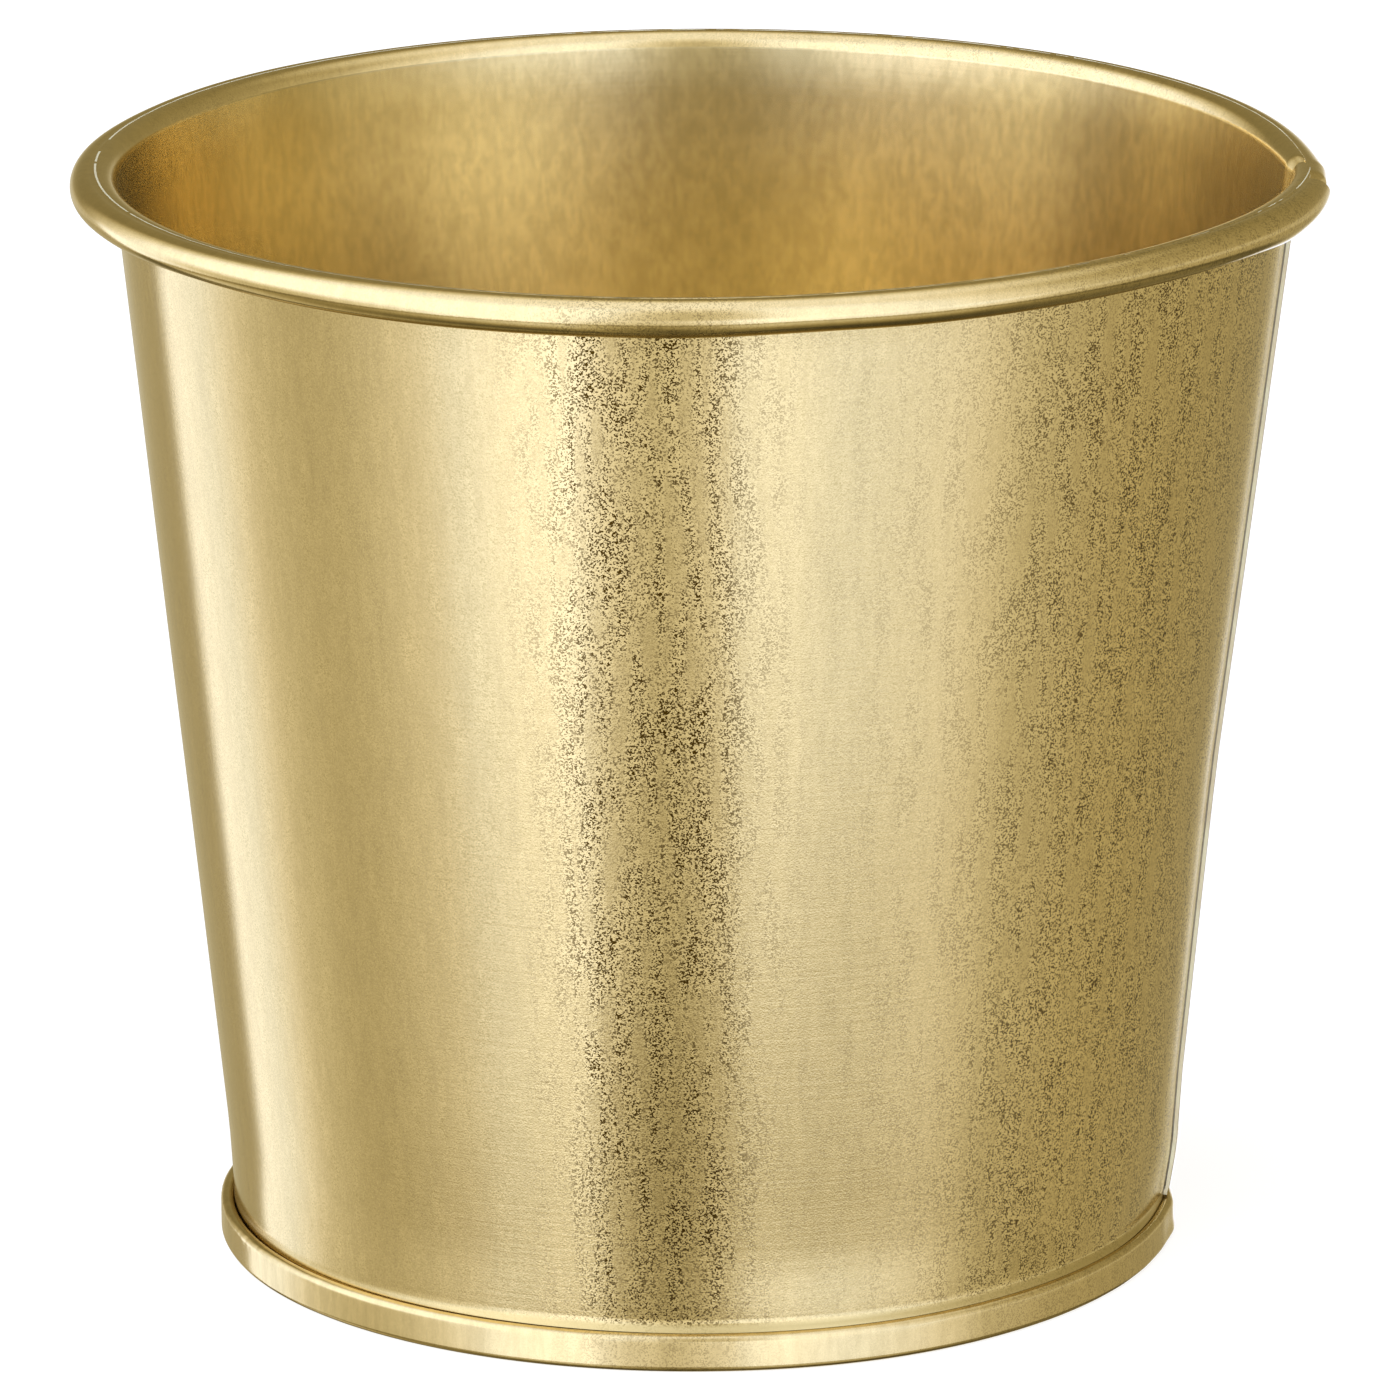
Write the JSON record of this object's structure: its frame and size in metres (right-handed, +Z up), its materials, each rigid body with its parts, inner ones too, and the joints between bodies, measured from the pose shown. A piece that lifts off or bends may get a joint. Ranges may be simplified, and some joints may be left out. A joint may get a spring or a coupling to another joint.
{
  "type": "planter pot",
  "caption": "Conical sheet-metal planter pot with an outward curled rim, a lapped side seam and a recessed base folded on with a double seam.",
  "frame": {"origin": "on the ground at the centre of the base", "axes": "+Z up along the pot's axis; the lap seam is on the +X side"},
  "size_m": [0.137, 0.137, 0.1228],
  "materials": {
    "wall_brass": "satin brass colour with fine spangle and rolling marks",
    "base_brass": "satin brass colour",
    "adhesive": "cured film",
    "compound": "cured sealing compound"
  },
  "bodies": {
    "root": {"wall_sheet": "wall_brass", "base_pan": "base_brass", "lap_seam_adhesive": "adhesive", "base_seam_compound": "compound"}
  },
  "joints": []
}
